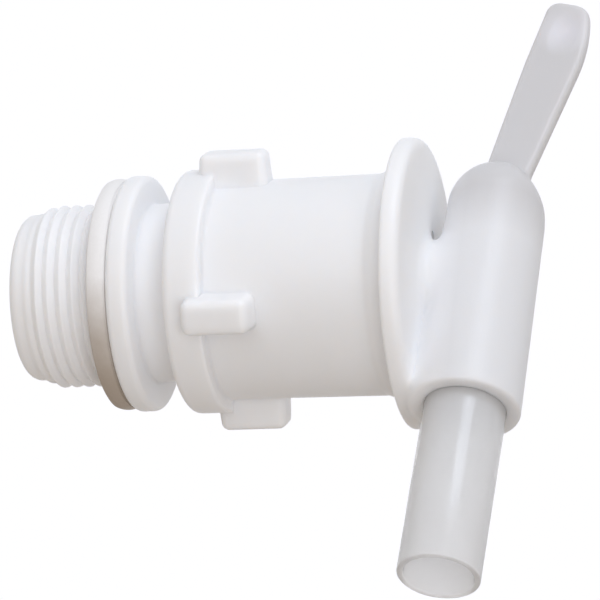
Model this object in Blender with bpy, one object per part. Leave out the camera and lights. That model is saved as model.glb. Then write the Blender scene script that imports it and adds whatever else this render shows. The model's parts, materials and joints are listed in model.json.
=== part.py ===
"""Container tap: a moulded body that screws into a container's outlet, and a key that turns in it.

Units are metres, with +Z up. The barrel's axis is X and points from the container to the outlet. The
origin is where that axis crosses the washer's sealing face. The spout points down and the lever up,
which is the open position, and a quarter turn of the key about X shuts the tap.
"""

import math

import bmesh
import bpy
from mathutils import Matrix, Vector

# Facets: one number for everything that turns about the barrel's axis, so that clearances stay even
round_steps = 40
small_steps = 24
corner_steps = 3
sharp_angle_deg = 32
weld_distance = 0.000001

# Clearances
seat_gap = 0.0003
running_gap = 0.0004

# Pipe thread of the container's outlet, G 3/4
thread_major_d = 0.02644
thread_depth = 0.00116
thread_pitch = 0.001814
thread_rows_per_turn = 5
thread_fade_turns = 1.3
thread_runout_turns = 0.5

# Spigot that carries the thread
spigot_length = 0.0129
spigot_bore_d = 0.0200
spigot_nose = 0.0022
spigot_nose_round = 0.0016
spigot_thread_relief = 0.0007

# Sealing washer
washer_d = 0.0335
washer_thickness = 0.0026
washer_round = 0.0004

# Flange that presses the washer, and the neck behind it
flange_d = 0.0341
flange_thickness = 0.0032
flange_round = 0.0009
neck_d = 0.0258
neck_length = 0.0052

# Collar with its gripping lugs
collar_d = 0.0352
collar_length = 0.00545
collar_round = 0.0012
lug_count = 4
lug_first_deg = 46.5
lug_height = 0.0027
lug_length = 0.00975
lug_width = 0.0050
lug_setback = 0.0032
lug_round = 0.0012

# Barrel
barrel_rear_d = 0.0314
barrel_front_d = 0.0318
barrel_length = 0.03185
barrel_rim_length = 0.0016
barrel_rim_height = 0.0004
barrel_wall = 0.0018
barrel_bore_chamfer = 0.0004

# Seat wall across the body, with a port for the liquid and one for the air that replaces it
seat_wall_setback = 0.0018
seat_wall_thickness = 0.0022
port_inner_r = 0.0030
port_land = 0.0012
port_sweep_deg = 74
air_hole_d = 0.0026
air_tube_d = 0.0042
air_tube_seat = 0.0012
air_tube_setback = 0.0006

# Rubber face seal between the seat wall and the key, kept from turning by ribs in the bore
seat_seal_thickness = 0.0015
rib_count = 2
rib_height = 0.0010
rib_sweep_deg = 14

# Key: the hollow drum inside the body
drum_wall = 0.0026
drum_lip = 0.0009
drum_seal_gap = 0.0003
port_disc_thickness = 0.0020
port_disc_tab_sweep_deg = 16
air_duct_wall = 0.0010
groove_depth = 0.0015
groove_width = 0.0022
rear_groove_from_end = 0.0050
front_groove_from_disc = 0.0090
ring_section_d = 0.0015
ring_section_steps = 8

# Key: the snap bead that holds it in, and the stop that limits its turn
bead_from_disc = 0.0052
bead_width = 0.0012
bead_height = 0.0006
stop_depth = 0.0021
stop_height = 0.0009
stop_sweep_deg = 20
turn_deg = 90

# Key: disc, boss and head outside the body
disc_d = 0.0417
disc_thickness = 0.0028
disc_rear_round = 0.0005
disc_front_round = 0.0010
boss_d = 0.0113
boss_bore_d = 0.0076
head_from_disc = 0.0112
head_lean_deg = 3.0
head_top_d = 0.0143
head_bottom_d = 0.0157
head_dome_height = 0.0122
head_foot = 0.0220
head_foot_round = 0.0010
head_bore_d = 0.0090
head_bore_top = 0.0042

# Key: lever
lever_lean_deg = 12.0
lever_length = 0.0379
lever_root_setback = 0.0006
lever_root_width = 0.0066
lever_width = 0.0083
lever_widest_at = 0.0262
lever_thickness = 0.0022
lever_tip_thinning = 0.4
lever_bend_from = 0.0318
lever_bend_deg = 20
lever_tip_round = 0.0021
lever_rear_fillet = 0.0006
lever_front_fillet = 0.0004
lever_stations = 18
lever_station_bias = 1.6
lever_face_steps = 6
dish_at = 0.0290
dish_half_length = 0.0062
dish_half_width = 0.0026
dish_depth = 0.0004

# Spout tube
tube_d = 0.0117
tube_wall = 0.0009
tube_exposed = 0.0274
tube_seat = 0.0090

# Radii and places that follow from the sizes above
thread_major_r = thread_major_d / 2
thread_root_r = thread_major_r - thread_depth
bore_r = min(barrel_rear_d, barrel_front_d) / 2 - barrel_wall
drum_r = bore_r - running_gap
drum_bore_r = drum_r - drum_wall
recess_r = drum_r - drum_lip
groove_floor_r = drum_r - groove_depth
port_outer_r = min(spigot_bore_d / 2, drum_bore_r) - port_land
air_height = min(spigot_bore_d / 2, drum_bore_r) - seat_gap - air_tube_d / 2
flange_x = washer_thickness + seat_gap
neck_x = flange_x + flange_thickness
collar_x = neck_x + neck_length
barrel_end_x = collar_x + barrel_length
seat_wall_x = collar_x + seat_wall_setback
seat_face_x = seat_wall_x + seat_wall_thickness
seal_x = seat_face_x + seat_gap
drum_end_x = seal_x + seat_seal_thickness + drum_seal_gap
port_disc_end_x = drum_end_x + port_disc_thickness
disc_x = barrel_end_x + seat_gap
side_clearance_deg = math.degrees(seat_gap / bore_r)
disc_face_x = disc_x + disc_thickness
head_x = disc_x + head_from_disc
tube_r = tube_d / 2
socket_r = tube_r + seat_gap


def arc(centre, radius, start_deg, end_deg, steps=corner_steps):
    """Points on an arc in the plane of a turned outline, its first and last points included."""
    points = []
    for i in range(steps + 1):
        angle = math.radians(start_deg + (end_deg - start_deg) * i / steps)
        points.append((centre[0] + radius * math.cos(angle), centre[1] + radius * math.sin(angle)))
    return points


def mesh_object(name, bm):
    """Wraps a bmesh as an object, with its faces turned outwards."""
    bmesh.ops.recalc_face_normals(bm, faces=bm.faces)
    mesh = bpy.data.meshes.new(name)
    bm.to_mesh(mesh)
    bm.free()
    obj = bpy.data.objects.new(name, mesh)
    bpy.context.scene.collection.objects.link(obj)
    return obj


def turned(name, outline, steps=round_steps, radius_of=None):
    """Turns an outline of (x, radius) points about X. It closes on itself, or at its ends on the axis.

    radius_of(x, radius, angle) may change a point's radius, as a thread does.
    """
    bm = bmesh.new()
    rings = []
    for x, radius in outline:
        if radius == 0:
            continue
        ring = []
        for i in range(steps):
            angle = 2 * math.pi * i / steps
            r = radius_of(x, radius, angle) if radius_of else radius
            ring.append(bm.verts.new((x, -r * math.sin(angle), r * math.cos(angle))))
        rings.append(ring)
    on_axis = outline[0][1] == 0 and outline[-1][1] == 0
    following = rings[1:] if on_axis else rings[1:] + rings[:1]
    for ring, following_ring in zip(rings, following):
        for i in range(steps):
            j = (i + 1) % steps
            bm.faces.new((ring[i], ring[j], following_ring[j], following_ring[i]))
    if on_axis:
        bm.faces.new(rings[0])
        bm.faces.new(rings[-1])
    return mesh_object(name, bm)


def rod(name, start_x, end_x, diameter, height=0.0, steps=small_steps):
    """A plain round bar along X, its centre at a height above the barrel's axis."""
    radius = diameter / 2
    obj = turned(name, [(start_x, 0), (start_x, radius), (end_x, radius), (end_x, 0)], steps)
    obj.data.transform(Matrix.Translation((0, 0, height)))
    return obj


def sector(name, start_x, end_x, inner_r, outer_r, middle_deg, sweep_deg):
    """A block between two radii, swept about X. Its middle angle is measured from +Z towards -Y."""
    steps = max(2, round(round_steps * sweep_deg / 360))
    bm = bmesh.new()
    sections = []
    for i in range(steps + 1):
        angle = math.radians(middle_deg + sweep_deg * (i / steps - 0.5))
        section = []
        for x, r in ((start_x, inner_r), (end_x, inner_r), (end_x, outer_r), (start_x, outer_r)):
            section.append(bm.verts.new((x, -r * math.sin(angle), r * math.cos(angle))))
        sections.append(section)
    for a, b in zip(sections, sections[1:]):
        for i in range(4):
            j = (i + 1) % 4
            bm.faces.new((a[i], a[j], b[j], b[i]))
    bm.faces.new(sections[0])
    bm.faces.new(reversed(sections[-1]))
    return mesh_object(name, bm)


def combine(target, operation, tools):
    """Applies an exact Boolean of each tool to the target, and removes the tools."""
    for tool in tools:
        tool.hide_render = True
        tool.display_type = "WIRE"
        modifier = target.modifiers.new(tool.name, "BOOLEAN")
        modifier.operation = operation
        modifier.solver = "EXACT"
        modifier.object = tool
    bpy.context.view_layer.update()
    graph = bpy.context.evaluated_depsgraph_get()
    mesh = bpy.data.meshes.new_from_object(target.evaluated_get(graph))
    bm = bmesh.new()
    bm.from_mesh(mesh)
    bmesh.ops.remove_doubles(bm, verts=bm.verts, dist=weld_distance)
    bm.to_mesh(mesh)
    bm.free()
    target.modifiers.clear()
    target.data = mesh
    for tool in tools:
        bpy.data.objects.remove(tool)
    return target


def plastic(name, colour, roughness, transmission=0.0, ior=1.5):
    """A material of one moulded colour."""
    material = bpy.data.materials.new(name)
    material.use_nodes = True
    shader = material.node_tree.nodes["Principled BSDF"]
    shader.inputs["Base Color"].default_value = (*colour, 1.0)
    shader.inputs["Roughness"].default_value = roughness
    shader.inputs["Metallic"].default_value = 0.0
    shader.inputs["Transmission Weight"].default_value = transmission
    shader.inputs["IOR"].default_value = ior
    material.diffuse_color = (*colour, 1.0)
    return material


def finish(obj, material, origin=(0, 0, 0), parent=None):
    """Shades a piece, gives it its material and puts its origin where it belongs."""
    obj.data.name = obj.name
    obj.data.transform(Matrix.Translation(-Vector(origin)))
    if parent is None:
        obj.location = origin
    else:
        obj.parent = parent
    obj.data.shade_smooth()
    obj.data.set_sharp_from_angle(angle=math.radians(sharp_angle_deg))
    obj.data.materials.clear()
    obj.data.materials.append(material)
    return obj


def thread_radius(x, radius, angle):
    """Radius of the spigot's outside at a point: a rounded pipe thread that fades at both ends."""
    start = -spigot_length + spigot_nose
    end = -spigot_thread_relief
    if not start <= x <= end or radius < thread_root_r - thread_depth / 2:
        return radius
    turn = x / thread_pitch - angle / (2 * math.pi)
    crest = 0.5 + 0.5 * math.cos(2 * math.pi * turn)
    fade_in = min(1.0, (x - start) / (thread_fade_turns * thread_pitch))
    fade_out = min(1.0, (end - x) / (thread_runout_turns * thread_pitch))
    return thread_root_r + thread_depth * crest * fade_in * fade_out


def spigot_outline():
    """The spigot's outside, from its open end to the washer's sealing face."""
    end_x = -spigot_length
    nose_round = (end_x + spigot_nose_round, thread_root_r - spigot_nose_round)
    points = arc(nose_round, spigot_nose_round, 180, 90)
    start = end_x + spigot_nose
    end = -spigot_thread_relief
    rows = math.ceil((end - start) / thread_pitch * thread_rows_per_turn)
    points += [(start + (end - start) * i / rows, thread_root_r) for i in range(rows + 1)]
    return points


def body_outline():
    """The body's section: outside from the spigot to the barrel's mouth, then back through its bores."""
    flange_r = flange_d / 2
    neck_r = neck_d / 2
    collar_r = collar_d / 2
    mouth_r = barrel_front_d / 2 + barrel_rim_height
    points = spigot_outline()
    points += [(0, thread_major_r), (flange_x, thread_major_r)]
    points += arc((flange_x + flange_round, flange_r - flange_round), flange_round, 180, 90)
    points += arc((neck_x - flange_round, flange_r - flange_round), flange_round, 90, 0)
    points += [(neck_x, neck_r), (collar_x, neck_r)]
    points += arc((collar_x + collar_round, collar_r - collar_round), collar_round, 180, 90)
    points += [(collar_x + collar_length, collar_r), (collar_x + collar_length, barrel_rear_d / 2)]
    points += [(barrel_end_x - 2 * barrel_rim_length, barrel_front_d / 2)]
    points += [(barrel_end_x - barrel_rim_length, mouth_r), (barrel_end_x, mouth_r)]
    points += [(barrel_end_x, bore_r + barrel_bore_chamfer), (barrel_end_x - barrel_bore_chamfer, bore_r)]
    points += snap_groove()
    points += [(seat_face_x, bore_r), (seat_face_x, 0)]
    return points


def snap_groove():
    """The groove in the body's bore that the key's bead snaps into, from front to rear."""
    middle = disc_x - bead_from_disc
    depth = bead_height + seat_gap - running_gap
    half_floor = bead_width / 2 + seat_gap
    half_mouth = half_floor + depth
    return [
        (middle + half_mouth, bore_r),
        (middle + half_floor, bore_r + depth),
        (middle - half_floor, bore_r + depth),
        (middle - half_mouth, bore_r),
    ]


def ports(prefix, start_x, end_x, turned_by_deg=0):
    """Cutters for the liquid's port, below the axis, and for the air hole above it."""
    liquid = sector(
        prefix + "_port", start_x, end_x, port_inner_r, port_outer_r, 180 + turned_by_deg, port_sweep_deg
    )
    air = rod(prefix + "_air", start_x, end_x, air_hole_d, air_height)
    return [liquid, air]


def lug(index):
    """One gripping lug: a block rounded at its outer edges, with its foot inside the collar."""
    foot_r = (bore_r + barrel_rear_d / 2) / 2
    tip_r = collar_d / 2 + lug_height
    bm = bmesh.new()
    bmesh.ops.create_cube(bm, size=1)
    bmesh.ops.scale(bm, vec=(lug_length, lug_width, tip_r - foot_r), verts=bm.verts)
    bmesh.ops.translate(bm, vec=(0, 0, (tip_r + foot_r) / 2), verts=bm.verts)
    outer = [edge for edge in bm.edges if max(v.co.z for v in edge.verts) > tip_r - lug_round]
    bmesh.ops.bevel(bm, geom=outer, offset=lug_round, segments=corner_steps, profile=0.5, affect="EDGES")
    middle = Vector((collar_x + lug_setback + lug_length / 2, 0, 0))
    turn = math.radians(lug_first_deg + 360 * index / lug_count)
    bm.transform(Matrix.Translation(middle) @ Matrix.Rotation(turn, 4, "X"))
    return mesh_object(f"lug_{index}", bm)


def seal_ribs(name, start_x, end_x, inner_r, outer_r, clearance_deg=0):
    """The ribs in the body's bore that stop the seat seal turning, or the notches that they fit."""
    sweep = rib_sweep_deg + 2 * clearance_deg
    return [
        sector(f"{name}_{i}", start_x, end_x, inner_r, outer_r, 90 + 360 * i / rib_count, sweep)
        for i in range(rib_count)
    ]


def stop_pocket():
    """The key's stop tab runs in this pocket, and meets its ends when the tap is open or shut."""
    return sector(
        "stop_pocket",
        barrel_end_x - stop_depth - seat_gap,
        barrel_end_x + seat_gap,
        bore_r - seat_gap,
        drum_r + stop_height + seat_gap,
        turn_deg / 2,
        turn_deg + stop_sweep_deg + 2 * side_clearance_deg,
    )


def tap_body():
    """The body as one turned section, with its lugs, ribs, ports and stop pocket."""
    spigot_bore_r = spigot_bore_d / 2
    bore = [(seat_wall_x, 0), (seat_wall_x, spigot_bore_r), (-spigot_length, spigot_bore_r)]
    body = turned("tap_body", bore + body_outline(), radius_of=thread_radius)
    ribs = seal_ribs(
        "rib", seat_face_x - seat_gap, seal_x + seat_seal_thickness, bore_r - rib_height, bore_r + seat_gap
    )
    combine(body, "UNION", [lug(i) for i in range(lug_count)] + ribs)
    cutters = ports("seat", seat_wall_x - seat_gap, seat_face_x + seat_gap)
    tube_seat_d = air_tube_d + 2 * seat_gap
    cutters.append(
        rod("air_tube_seat", seat_wall_x - seat_gap, seat_wall_x + air_tube_seat, tube_seat_d, air_height)
    )
    cutters.append(stop_pocket())
    return combine(body, "DIFFERENCE", cutters)


def washer():
    inner_r = thread_major_r + seat_gap
    outer_r = washer_d / 2
    near = washer_round
    far = washer_thickness - washer_round
    outline = [(0, inner_r)]
    outline += arc((near, outer_r - washer_round), washer_round, 180, 90)
    outline += arc((far, outer_r - washer_round), washer_round, 90, 0)
    outline += [(washer_thickness, inner_r)]
    return turned("sealing_washer", outline)


def seat_seal():
    end_x = seal_x + seat_seal_thickness
    radius = bore_r - seat_gap
    seal = turned("seat_seal", [(seal_x, 0), (seal_x, radius), (end_x, radius), (end_x, 0)])
    notches = seal_ribs(
        "notch",
        seal_x - seat_gap,
        end_x + seat_gap,
        bore_r - rib_height - seat_gap,
        bore_r + seat_gap,
        side_clearance_deg,
    )
    return combine(seal, "DIFFERENCE", ports("seal", seal_x - seat_gap, end_x + seat_gap) + notches)


def port_disc():
    """The ported plate in the drum's rear end, with the tab that makes it turn with the drum."""
    end_x = port_disc_end_x
    radius = recess_r - seat_gap
    disc = turned("port_disc", [(drum_end_x, 0), (drum_end_x, radius), (end_x, radius), (end_x, 0)])
    tab = sector(
        "disc_tab", drum_end_x, end_x, radius - drum_lip, drum_r, 0, port_disc_tab_sweep_deg
    )
    combine(disc, "UNION", [tab])
    return combine(disc, "DIFFERENCE", ports("disc", drum_end_x - seat_gap, end_x + seat_gap))


def air_tube():
    start_x = -spigot_length + air_tube_setback
    end_x = seat_wall_x + air_tube_seat - seat_gap
    inner_r = air_hole_d / 2
    outer_r = air_tube_d / 2
    tube = turned(
        "air_tube",
        [(start_x, inner_r), (start_x, outer_r), (end_x, outer_r), (end_x, inner_r)],
        small_steps,
    )
    tube.data.transform(Matrix.Translation((0, 0, air_height)))
    return tube


def groove(middle):
    """A ring groove in the drum, from front to rear."""
    front = middle + groove_width / 2
    rear = middle - groove_width / 2
    return [(front, drum_r), (front, groove_floor_r), (rear, groove_floor_r), (rear, drum_r)]


def rear_groove_x():
    return drum_end_x + rear_groove_from_end


def front_groove_x():
    return disc_x - front_groove_from_disc


def o_ring(name, middle):
    section_r = ring_section_d / 2
    centre = (middle, groove_floor_r + seat_gap + section_r)
    last = ring_section_steps - 1
    return turned(name, arc(centre, section_r, 0, 360 * last / ring_section_steps, last))


def drum_and_disc():
    """The disc and the drum as one turned shape, open at the rear where the port disc fits."""
    disc_r = disc_d / 2
    bead_x = disc_x - bead_from_disc
    recess_x = port_disc_end_x + seat_gap
    front_centre = (disc_face_x - disc_front_round, disc_r - disc_front_round)
    rear_centre = (disc_x + disc_rear_round, disc_r - disc_rear_round)
    outline = [(disc_face_x, 0)]
    outline += arc(front_centre, disc_front_round, 0, 90)
    outline += arc(rear_centre, disc_rear_round, 90, 180)
    outline += [(disc_x, drum_r)]
    outline += [
        (bead_x + bead_width / 2 + bead_height, drum_r),
        (bead_x + bead_width / 2, drum_r + bead_height),
        (bead_x - bead_width / 2, drum_r + bead_height),
        (bead_x - bead_width / 2 - bead_height, drum_r),
    ]
    outline += groove(front_groove_x())
    outline += groove(rear_groove_x())
    outline += [(drum_end_x, drum_r), (drum_end_x, recess_r), (recess_x, recess_r)]
    outline += [(recess_x, drum_bore_r), (disc_x, drum_bore_r), (disc_x, 0)]
    return turned("turning_key", outline)


def head_frame():
    """Places a shape turned about its own X on the head's axis, with its X pointing down the spout."""
    down = Matrix.Rotation(math.radians(90), 4, "Y")
    lean = Matrix.Rotation(math.radians(head_lean_deg), 4, "Y")
    return Matrix.Translation((head_x, 0, 0)) @ lean @ down


def head():
    """The domed post that carries the spout, the boss and the lever."""
    top_r = head_top_d / 2
    foot_r = head_bottom_d / 2
    dome = arc((-head_dome_height, 0), top_r, 180, 90, 3 * corner_steps)
    dome[0] = (dome[0][0], 0)
    foot = arc((head_foot - head_foot_round, foot_r - head_foot_round), head_foot_round, 90, 0)
    post = turned("head", dome + foot + [(head_foot, 0)])
    post.data.transform(head_frame())
    return post


def lever_edges(along):
    """How far the lever's rear and front edges lie from its centre line, and how thick it is there."""
    grow = min(1.0, along / lever_widest_at)
    half = 0.5 * (lever_root_width + (lever_width - lever_root_width) * grow)
    bend = max(0.0, along - lever_bend_from) * math.tan(math.radians(lever_bend_deg))
    into_tip = max(0.0, along - (lever_length - lever_tip_round))
    tip = lever_tip_round - math.sqrt(max(0.0, lever_tip_round**2 - into_tip**2))
    dome_r = head_top_d / 2
    flares = []
    for fillet in (lever_rear_fillet, lever_front_fillet):
        short = min(fillet, max(0.0, dome_r + fillet - along))
        flares.append(fillet - math.sqrt(fillet**2 - short**2))
    thickness = lever_thickness * (1 - lever_tip_thinning * tip / lever_tip_round)
    return half + flares[0] - tip, half + flares[1] - bend - tip, thickness + flares[1]


def lever_section(along):
    """Points round the lever at one distance from the dome's centre, as (along, across, through)."""
    rear, front, thickness = lever_edges(along)
    edge = min(thickness / 2, (rear + front) / 4)
    face = []
    for i in range(lever_face_steps + 1):
        across = -rear + edge + (rear + front - 2 * edge) * i / lever_face_steps
        hollow = ((along - dish_at) / dish_half_length) ** 2 + (across / dish_half_width) ** 2
        face.append((across, thickness / 2 - dish_depth * max(0.0, 1 - hollow)))
    nose = []
    for angle in (math.pi / 4, 0, -math.pi / 4):
        nose.append((edge * (math.cos(angle) - 1), thickness / 2 * math.sin(angle)))
    ring = face + [(front + inward, through) for inward, through in nose]
    ring += [(across, -through) for across, through in reversed(face)]
    ring += [(-rear - inward, -through) for inward, through in nose]
    return [(along, across, through) for across, through in ring]


def lever():
    """The flat lever, lofted through its sections and rooted inside the dome."""
    bm = bmesh.new()
    rings = []
    for i in range(lever_stations):
        # The stations crowd towards the tip, where the outline turns.
        share = 1 - (1 - i / (lever_stations - 1)) ** lever_station_bias
        rings.append([bm.verts.new(point) for point in lever_section(lever_length * share)])
    for a, b in zip(rings, rings[1:]):
        for i in range(len(a)):
            j = (i + 1) % len(a)
            bm.faces.new((a[i], a[j], b[j], b[i]))
    bm.faces.new(rings[0])
    bm.faces.new(reversed(rings[-1]))
    # Along the lever is up the post, across it is towards the outlet, through it is along Y.
    axes = Matrix(((0, 1, 0, 0), (0, 0, 1, 0), (1, 0, 0, 0), (0, 0, 0, 1)))
    lean = Matrix.Rotation(math.radians(lever_lean_deg + head_lean_deg), 4, "Y")
    base = head_frame() @ Vector((-head_dome_height, 0, 0)) - Vector((lever_root_setback, 0, 0))
    bm.transform(Matrix.Translation(base) @ lean @ axes)
    return mesh_object("lever", bm)


def head_bore():
    """The spout's channel down the head, with the socket that takes the tube."""
    bore = turned(
        "head_bore",
        [
            (-head_bore_top, 0),
            (-head_bore_top, head_bore_d / 2),
            (head_foot - tube_seat - seat_gap, head_bore_d / 2),
            (head_foot - tube_seat - seat_gap, socket_r),
            (head_foot + seat_gap, socket_r),
            (head_foot + seat_gap, 0),
        ],
        small_steps,
    )
    bore.data.transform(head_frame())
    return bore


def turning_key():
    key = drum_and_disc()
    inside_disc_x = disc_x + disc_thickness / 2
    duct_x = port_disc_end_x + seat_gap
    tab_foot_r = (drum_r + drum_bore_r) / 2
    tab = sector(
        "stop_tab", disc_x - stop_depth, inside_disc_x, tab_foot_r, drum_r + stop_height, 0, stop_sweep_deg
    )
    boss = rod("boss", inside_disc_x, head_x, boss_d, steps=round_steps)
    duct = rod("air_duct", duct_x, inside_disc_x, air_hole_d + 2 * air_duct_wall, air_height)
    combine(key, "UNION", [tab, boss, head(), lever(), duct])
    boss_bore = rod("boss_bore", disc_x - seat_gap, head_x, boss_bore_d)
    air_hole = rod("air_hole", duct_x - seat_gap, disc_face_x + seat_gap, air_hole_d, air_height)
    slot_sweep = port_disc_tab_sweep_deg + 2 * side_clearance_deg
    slot = sector(
        "tab_slot", drum_end_x - seat_gap, duct_x, recess_r - seat_gap, drum_r + seat_gap, 0, slot_sweep
    )
    return combine(key, "DIFFERENCE", [boss_bore, head_bore(), air_hole, slot])


def spout_tube():
    inner_r = tube_r - tube_wall
    top = head_foot - tube_seat
    bottom = head_foot + tube_exposed
    tube = turned(
        "spout_tube",
        [(top, inner_r), (top, tube_r), (bottom, tube_r), (bottom, inner_r)],
        small_steps,
    )
    tube.data.transform(head_frame())
    return tube


def main():
    for obj in list(bpy.data.objects):
        bpy.data.objects.remove(obj)
    pivot_at = (disc_x, 0, 0)
    pivot = bpy.data.objects.new("key_pivot", None)
    pivot.location = pivot_at
    bpy.context.scene.collection.objects.link(pivot)

    white = plastic("white_body", (0.86, 0.86, 0.87), 0.42)
    natural = plastic("natural_key", (0.80, 0.80, 0.80), 0.40)
    clear = plastic("clear_tube", (0.86, 0.87, 0.87), 0.22, transmission=0.6)
    natural_disc = plastic("natural_port_disc", (0.80, 0.80, 0.80), 0.40)
    clear_air = plastic("natural_air_tube", (0.84, 0.84, 0.84), 0.30)
    foam = plastic("washer_foam", (0.56, 0.51, 0.44), 0.75)
    rubber = plastic("seal_rubber", (0.60, 0.59, 0.57), 0.65)
    front_rubber = plastic("front_ring_rubber", (0.10, 0.10, 0.10), 0.55)
    rear_rubber = plastic("rear_ring_rubber", (0.10, 0.10, 0.10), 0.55)

    finish(tap_body(), white)
    finish(washer(), foam)
    finish(seat_seal(), rubber)
    finish(air_tube(), clear_air)
    finish(turning_key(), natural, pivot_at, pivot)
    finish(spout_tube(), clear, pivot_at, pivot)
    finish(port_disc(), natural_disc, pivot_at, pivot)
    finish(o_ring("front_o_ring", front_groove_x()), front_rubber, pivot_at, pivot)
    finish(o_ring("rear_o_ring", rear_groove_x()), rear_rubber, pivot_at, pivot)


main()
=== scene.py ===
import json
import math

import bmesh
import bpy
import numpy as np
from mathutils import Matrix, Vector


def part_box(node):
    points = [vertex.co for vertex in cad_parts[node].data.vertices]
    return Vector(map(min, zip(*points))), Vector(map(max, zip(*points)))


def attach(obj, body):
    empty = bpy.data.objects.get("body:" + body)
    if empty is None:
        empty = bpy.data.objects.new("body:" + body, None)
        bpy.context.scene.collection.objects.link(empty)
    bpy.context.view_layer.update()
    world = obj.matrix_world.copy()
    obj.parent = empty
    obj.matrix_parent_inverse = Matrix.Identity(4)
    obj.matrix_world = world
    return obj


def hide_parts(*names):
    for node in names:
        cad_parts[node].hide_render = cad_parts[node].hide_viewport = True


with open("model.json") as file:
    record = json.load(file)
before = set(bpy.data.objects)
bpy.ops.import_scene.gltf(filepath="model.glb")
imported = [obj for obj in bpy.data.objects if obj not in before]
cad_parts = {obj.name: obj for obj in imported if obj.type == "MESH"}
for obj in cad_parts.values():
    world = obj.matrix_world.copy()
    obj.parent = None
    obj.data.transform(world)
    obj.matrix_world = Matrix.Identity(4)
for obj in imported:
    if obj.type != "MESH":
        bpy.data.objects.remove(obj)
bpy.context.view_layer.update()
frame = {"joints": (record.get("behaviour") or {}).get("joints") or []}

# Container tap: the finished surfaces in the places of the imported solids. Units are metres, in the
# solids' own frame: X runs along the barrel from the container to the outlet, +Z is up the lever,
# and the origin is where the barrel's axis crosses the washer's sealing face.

# Places that the frame gives
body_low, body_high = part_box("tap_body")
key_low, key_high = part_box("turning_key")
washer_low, washer_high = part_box("sealing_washer")
seal_low, seal_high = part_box("seat_seal")
plate_low, plate_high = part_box("port_disc")
air_low, air_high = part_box("air_tube")
pivot_x = frame["joints"][0]["pos_m"][0]
nose_x = body_low.x
mouth_x = body_high.x

# Clearances
seat_gap = 0.0003
running_gap = 0.0004

# Mesh fineness
column_step_deg = 2.0
fine_column_step_deg = 0.25
lug_column_margin_deg = 1.5
lug_halvings = 22
lug_end_step_deg = 15
lug_end_rows = (0.00004, 0.0003, 6)
barrel_row_step = 0.0006
flare_rows = 9
bulge_rows = 9
small_steps = 96
corner_steps = 8
washer_corner_steps = 4
tube_corner_steps = 3
ring_steps = 24
skin_cell = 0.0003
least_steepness = 0.25
smooth_reach_per_radius = 1.17
sharp_angle_deg = 36
weld_distance = 0.000001

# Spigot and its pipe thread
thread_major_r = 0.01322
thread_depth = 0.00116
thread_pitch = 0.001814
thread_rows_per_turn = 14
thread_crest_sharpness = 0.93
thread_valley = 0.00040
thread_fade_turns = 1.3
thread_runout_turns = 0.5
thread_relief = 0.0007
thread_root_r = thread_major_r - thread_depth
spigot_bore_r = 0.0100
nose_length = 0.0022
nose_round = 0.0016
nose_chamfer = 0.0003

# Washer, flange, neck and collar
flange_x = washer_high.x + seat_gap
washer_seat_gap = 0.00004
washer_edge_round = 0.0004
flange_thickness = 0.0032
flange_r = 0.01705
flange_round = 0.0009
neck_x = flange_x + flange_thickness
neck_r = 0.0129
neck_fillet = 0.0005
collar_x = neck_x + 0.0052
collar_r = 0.0176
collar_length = 0.00545
collar_round = 0.0012

# Lugs on the collar
lug_count = 4
lug_first_deg = 46.5
lug_height = 0.0027
lug_length = 0.00975
lug_width = 0.0050
lug_setback = 0.0032
lug_round = 0.0012
lug_draft_deg = 3.0
lug_fillet = 0.0009

# Barrel and its bore
barrel_rear_r = 0.0157
barrel_front_r = 0.0159
rim_length = 0.0016
rim_height = 0.0004
barrel_wall = 0.0018
bore_r = barrel_rear_r - barrel_wall
bore_chamfer = 0.0004
seat_wall_x = collar_x + 0.0018
seat_face_x = seal_low.x - seat_gap

# Ports through the seat wall, the seal and the port disc
port_inner_r = 0.0030
port_outer_r = 0.0088
port_sweep_deg = 74
air_hole_r = 0.0013
air_tube_r = 0.0021
air_tube_seat = 0.0012
air_height = 0.0076
rib_height = 0.0010
rib_sweep_deg = 14
side_clearance_deg = math.degrees(seat_gap / bore_r)

# Drum of the key, inside the body
drum_r = bore_r - running_gap
drum_bore_r = drum_r - 0.0026
recess_r = drum_r - 0.0009
drum_end_x = plate_low.x
plate_end_x = plate_high.x
plate_tab_sweep_deg = 16
plate_tab_root = 0.001
duct_wall = 0.0010
groove_depth = 0.0015
groove_width = 0.0022
rear_groove_x = drum_end_x + 0.0050
front_groove_x = pivot_x - 0.0090
ring_section_r = 0.00075
bead_x = pivot_x - 0.0052
bead_width = 0.0012
bead_height = 0.0006
stop_depth = 0.0021
stop_height = 0.0009
stop_sweep_deg = 20
turn_deg = 90

# Disc, boss and head of the key
disc_r = key_high.y
disc_x = pivot_x
disc_thickness = 0.0028
disc_face_x = disc_x + disc_thickness
disc_rear_round = 0.0005
disc_front_round = 0.0014
boss_r = 0.00565
boss_bore_r = 0.0038
boss_fillet = 0.0022
disc_fillet = 0.0019
head_x = disc_x + 0.0112
head_lean_deg = 3.0
head_top_r = 0.00715
head_foot_r = 0.00785
dome_height = 0.0122
head_foot = 0.0220
head_foot_round = 0.0005
shoulder_deg = 35.0
shoulder_offset = 0.0006
shoulder_round = 0.0030
head_bore_r = 0.0045
head_bore_top = 0.0042

# Lever
lever_lean_deg = 12.0
lever_length = 0.03777
lever_root_setback = 0.0006
lever_root_width = 0.0063
lever_width = 0.0083
lever_widest_at = 0.0262
lever_half_thickness = 0.0011
lever_bend_from = 0.0270
lever_bend = 0.0022
lever_tip_round = 0.0018
lever_edge_round = 0.0008
lever_fillet = 0.0011
dish_at = 0.0322
dish_half_length = 0.0042
dish_half_width = 0.0024
dish_depth = 0.0004

# Spout tube
tube_r = 0.00585
tube_wall = 0.0009
tube_exposed = 0.0274
tube_seat = 0.0090
tube_edge_round = 0.0002
socket_gap = 0.00002
socket_r = tube_r + socket_gap

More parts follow.
